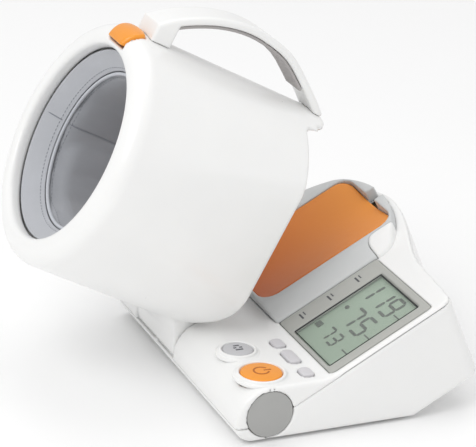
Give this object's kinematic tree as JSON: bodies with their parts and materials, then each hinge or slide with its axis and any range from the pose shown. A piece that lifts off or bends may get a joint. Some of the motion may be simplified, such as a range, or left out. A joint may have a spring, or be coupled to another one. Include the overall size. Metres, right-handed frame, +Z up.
{
  "type": "arm-in blood pressure monitor",
  "caption": "Desktop blood pressure monitor with a tilting cuff barrel for the upper arm, a carry handle with release button, and a wedge base with display, keys and elbow rest.",
  "frame": {"origin": "centre of the bounding box in plan, at the underside of the rubber feet", "axes": "+X to the user's right, +Y away from the user, +Z up"},
  "size_m": [0.2338, 0.3048, 0.2488],
  "materials": {
    "shell": "semi-gloss white moulding",
    "cover": "semi-gloss white moulding",
    "cap": "satin grey",
    "orange": "satin orange",
    "elbow": "matte orange",
    "bezel": "satin silver grey",
    "glass": "clear window",
    "lcd": "grey-green display",
    "key": "satin light grey",
    "grip": "soft grey strip",
    "fabric": "woven grey cuff cloth",
    "rubber": "dark rubber",
    "metal": "bright steel",
    "board": "green circuit board",
    "dark": "dark moulding"
  },
  "bodies": {
    "base": {"upper_cover": "cover", "lower_case": "cover", "cradle": "cover", "elbow_rest": "elbow", "display_frame": "bezel", "display_window": "glass", "display_panel": "lcd", "hinge_shaft": "metal", "hinge_bush_left": "dark", "hinge_bush_right": "dark", "hinge_cap_right": "cap", "hinge_cap_left": "cap", "main_board": "board", "air_pump": "metal", "exhaust_valve": "dark", "pressure_sensor": "dark", "air_hose": "dark", "dc_jack": "dark", "rubber_foot_1": "rubber", "rubber_foot_2": "rubber", "rubber_foot_3": "rubber", "rubber_foot_4": "rubber", "case_screw_1": "metal", "case_screw_2": "metal", "case_screw_3": "metal", "case_screw_4": "metal"},
    "barrel": {"barrel_shell": "shell", "exit_cover": "shell", "arm_tube": "cover", "liner_ring": "cover", "liner_collar": "fabric", "cuff_throat": "fabric", "cuff_liner": "fabric", "cuff_tail": "fabric", "air_bladder": "rubber", "hinge_knuckle": "shell", "handle": "shell", "handle_grip": "grip", "cuff_hose": "dark"},
    "release": {"release_button": "orange", "latch_rod": "metal", "latch_hook": "dark"},
    "start_key": {"start_button": "orange"},
    "memory_key": {"memory_button": "key"},
    "history_key": {"history_button": "key"},
    "select_key": {"select_button": "key"},
    "clock_key": {"clock_button": "key"}
  },
  "joints": [
    {"name": "barrel_tilt", "type": "hinge", "parent": "base", "child": "barrel", "pos_m": [-0.03055, -0.02448, 0.02], "axis": [-1, 0, 0], "range_deg": [0, 33.5]},
    {"name": "release_press", "type": "slide", "parent": "barrel", "child": "release", "axis": [0, 0.8862, -0.4633], "range_m": [0, 0.002], "stiffness_N_per_m": 300, "springref_m": -0.003},
    {"name": "start_press", "type": "slide", "parent": "base", "child": "start_key", "axis": [0, 0, -1], "range_m": [0, 0.001], "stiffness_N_per_m": 800, "springref_m": -0.0015},
    {"name": "memory_press", "type": "slide", "parent": "base", "child": "memory_key", "axis": [0, 0, -1], "range_m": [0, 0.001], "stiffness_N_per_m": 800, "springref_m": -0.0015},
    {"name": "history_press", "type": "slide", "parent": "base", "child": "history_key", "axis": [0, 0, -1], "range_m": [0, 0.001], "stiffness_N_per_m": 800, "springref_m": -0.0015},
    {"name": "select_press", "type": "slide", "parent": "base", "child": "select_key", "axis": [0, 0, -1], "range_m": [0, 0.001], "stiffness_N_per_m": 800, "springref_m": -0.0015},
    {"name": "clock_press", "type": "slide", "parent": "base", "child": "clock_key", "axis": [0, 0, -1], "range_m": [0, 0.001], "stiffness_N_per_m": 800, "springref_m": -0.0015}
  ]
}
